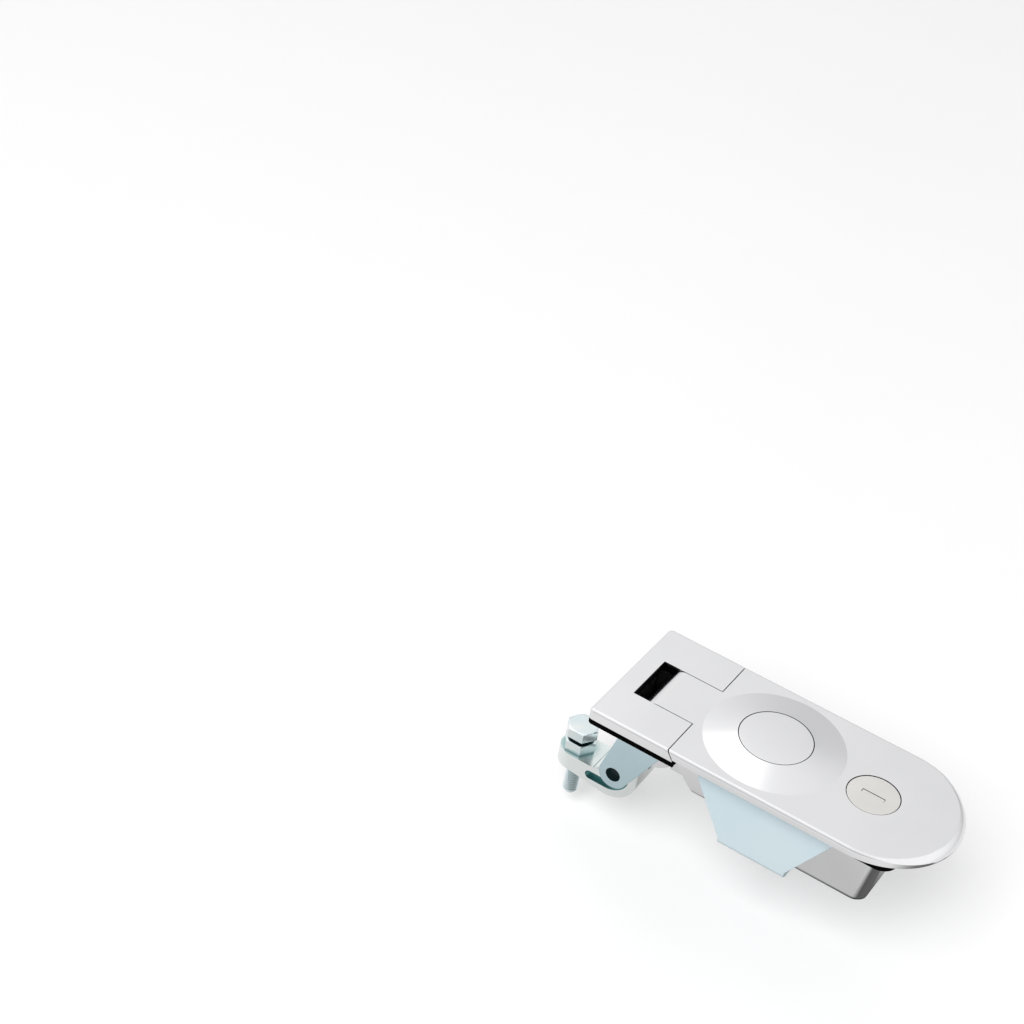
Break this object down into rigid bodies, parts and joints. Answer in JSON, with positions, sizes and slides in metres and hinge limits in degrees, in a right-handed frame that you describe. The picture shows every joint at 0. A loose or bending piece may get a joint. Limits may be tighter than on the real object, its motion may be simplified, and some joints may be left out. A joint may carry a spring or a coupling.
{
  "type": "compression latch",
  "caption": "Flush compression latch with a lift handle, push button and key lock on the front, and a sprung pawl with an adjusting bolt behind a sealed panel.",
  "frame": {"origin": "centre of the panel cut-out, on the front face of the panel where the gasket seats", "axes": "+Z out of the panel towards the user, +X from the hinge end to the round grip end of the handle"},
  "size_m": [0.1291, 0.05, 0.0615],
  "materials": {
    "chrome_body": "chrome plated die casting",
    "black_rubber": "matt black",
    "zinc_sheet": "bright zinc plated sheet",
    "zinc_steel": "bright zinc plated",
    "plain_steel": "plain steel",
    "nickel_plug": "satin nickel"
  },
  "bodies": {
    "frame": {"housing": "chrome_body", "gasket": "black_rubber", "bracket": "zinc_sheet", "bracket_screw": "zinc_steel"},
    "lever": {"handle": "chrome_body", "pivot_shaft": "plain_steel", "yoke": "zinc_steel", "pawl_pin": "plain_steel", "catch_guide": "zinc_steel", "guide_screws": "plain_steel", "lock_barrel": "plain_steel", "lock_clip": "plain_steel", "button_spring": "plain_steel", "catch_spring": "plain_steel"},
    "claw": {"pawl": "zinc_steel", "pawl_spring": "plain_steel", "adjusting_bolt": "zinc_steel", "jam_nut": "zinc_steel"},
    "button": {"push_button": "chrome_body", "button_clip": "plain_steel"},
    "catch": {"catch_slide": "zinc_steel"},
    "lock": {"lock_plug": "nickel_plug", "lock_cam": "zinc_steel", "cam_screw": "plain_steel"}
  },
  "joints": [
    {"name": "handle_lift", "type": "hinge", "parent": "frame", "child": "lever", "pos_m": [-0.035, 0, -0.0057], "axis": [0, -1, 0], "range_deg": [0, 45]},
    {"name": "pawl_swing", "type": "hinge", "parent": "lever", "child": "claw", "pos_m": [-0.0416, 0, -0.0224], "axis": [0, -1, 0], "range_deg": [0, 20], "stiffness_Nm_per_rad": 0.15, "springref_deg": -28.65, "deforming": ["pawl_spring"]},
    {"name": "button_press", "type": "slide", "parent": "lever", "child": "button", "axis": [0, 0, -1], "range_m": [0, 0.0018], "stiffness_N_per_m": 800, "springref_m": -0.002, "deforming": ["button_spring"]},
    {"name": "catch_draw", "type": "slide", "parent": "lever", "child": "catch", "axis": [-1, 0, 0], "range_m": [0, 0.0018], "deforming": ["catch_spring"]},
    {"name": "lock_turn", "type": "hinge", "parent": "lever", "child": "lock", "pos_m": [0.0332, 0, 0], "axis": [0, 0, 1], "range_deg": [0, 90]}
  ],
  "couplings": [
    {"joint": "catch_draw", "follows": "button_press", "ratio": 1}
  ]
}
